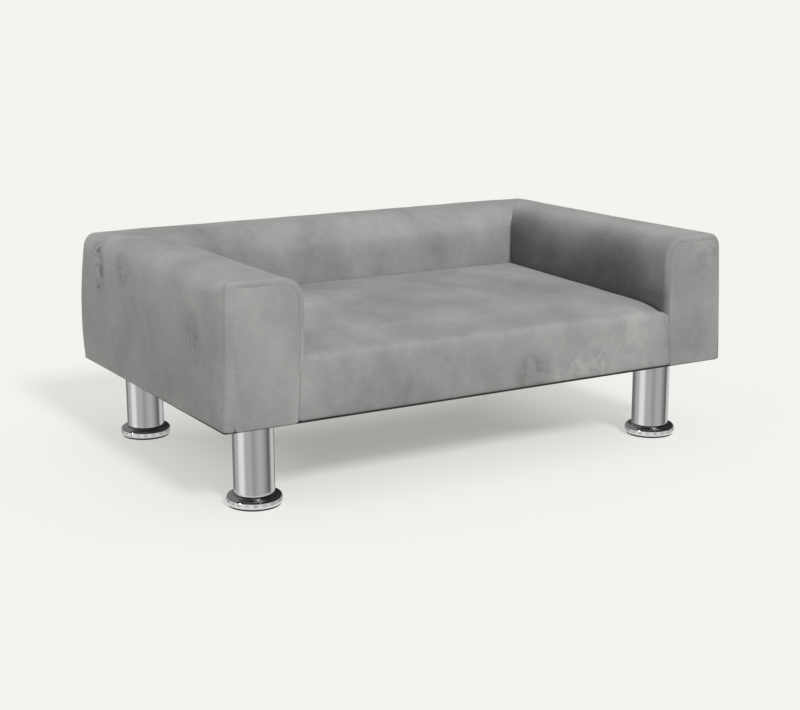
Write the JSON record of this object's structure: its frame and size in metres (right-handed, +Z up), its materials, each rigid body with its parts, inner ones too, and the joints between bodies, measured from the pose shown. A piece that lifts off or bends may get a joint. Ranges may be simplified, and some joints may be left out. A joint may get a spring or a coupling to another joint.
{
  "type": "dog sofa bed",
  "caption": "Low upholstered dog sofa in grey plush: U-shaped arms and back round a fixed padded seat, on round chrome legs with screw-in levelling feet.",
  "frame": {"origin": "on the floor under the middle of the sofa, feet screwed fully in", "axes": "+X to the right of someone who looks at the open front, +Y to the rear, +Z up"},
  "size_m": [0.7, 0.45, 0.268],
  "materials": {
    "pine": "sawn",
    "plywood": "sanded",
    "foam": "open cell",
    "grey_plush": "short pile",
    "black_lining": "felted",
    "zinc_steel": "zinc plated",
    "brass": "turned",
    "satin_chrome": "satin",
    "bright_chrome": "polished",
    "black_plastic": "fine grain",
    "white_nylon": "plain"
  },
  "bodies": {
    "sofa": {"front_rail": "pine", "rear_rail": "pine", "left_rail": "pine", "right_rail": "pine", "centre_rail": "pine", "corner_blocks": "pine", "seat_deck": "plywood", "seat_front_board": "plywood", "left_side_panel": "plywood", "right_side_panel": "plywood", "left_inner_panel": "plywood", "right_inner_panel": "plywood", "left_front_board": "plywood", "right_front_board": "plywood", "left_top_board": "plywood", "right_top_board": "plywood", "rear_panel": "plywood", "back_inner_panel": "plywood", "back_top_board": "plywood", "frame_screws": "zinc_steel", "seat_foam": "foam", "left_arm_foam": "foam", "right_arm_foam": "foam", "back_foam": "foam", "seat_cover": "grey_plush", "left_arm_cover": "grey_plush", "right_arm_cover": "grey_plush", "left_arm_front": "grey_plush", "right_arm_front": "grey_plush", "back_cover": "grey_plush", "base_lining": "black_lining", "threaded_inserts": "brass", "leg_bolts": "zinc_steel", "plug_nuts": "brass", "leg_tube_front_left": "satin_chrome", "leg_tube_front_right": "satin_chrome", "leg_tube_rear_left": "satin_chrome", "leg_tube_rear_right": "satin_chrome", "leg_plug_front_left": "black_plastic", "leg_plug_front_right": "black_plastic", "leg_plug_rear_left": "black_plastic", "leg_plug_rear_right": "black_plastic"},
    "foot_front_left": {"foot_washer_front_left": "white_nylon", "foot_stud_front_left": "zinc_steel", "foot_ring_front_left": "bright_chrome", "foot_sole_front_left": "black_plastic"},
    "foot_front_right": {"foot_washer_front_right": "white_nylon", "foot_stud_front_right": "zinc_steel", "foot_ring_front_right": "bright_chrome", "foot_sole_front_right": "black_plastic"},
    "foot_rear_left": {"foot_washer_rear_left": "white_nylon", "foot_stud_rear_left": "zinc_steel", "foot_ring_rear_left": "bright_chrome", "foot_sole_rear_left": "black_plastic"},
    "foot_rear_right": {"foot_washer_rear_right": "white_nylon", "foot_stud_rear_right": "zinc_steel", "foot_ring_rear_right": "bright_chrome", "foot_sole_rear_right": "black_plastic"}
  },
  "joints": [
    {"name": "level_front_left", "type": "slide", "parent": "sofa", "child": "foot_front_left", "axis": [0, 0, -1], "range_m": [0, 0.012]},
    {"name": "level_front_right", "type": "slide", "parent": "sofa", "child": "foot_front_right", "axis": [0, 0, -1], "range_m": [0, 0.012]},
    {"name": "level_rear_left", "type": "slide", "parent": "sofa", "child": "foot_rear_left", "axis": [0, 0, -1], "range_m": [0, 0.012]},
    {"name": "level_rear_right", "type": "slide", "parent": "sofa", "child": "foot_rear_right", "axis": [0, 0, -1], "range_m": [0, 0.012]}
  ]
}
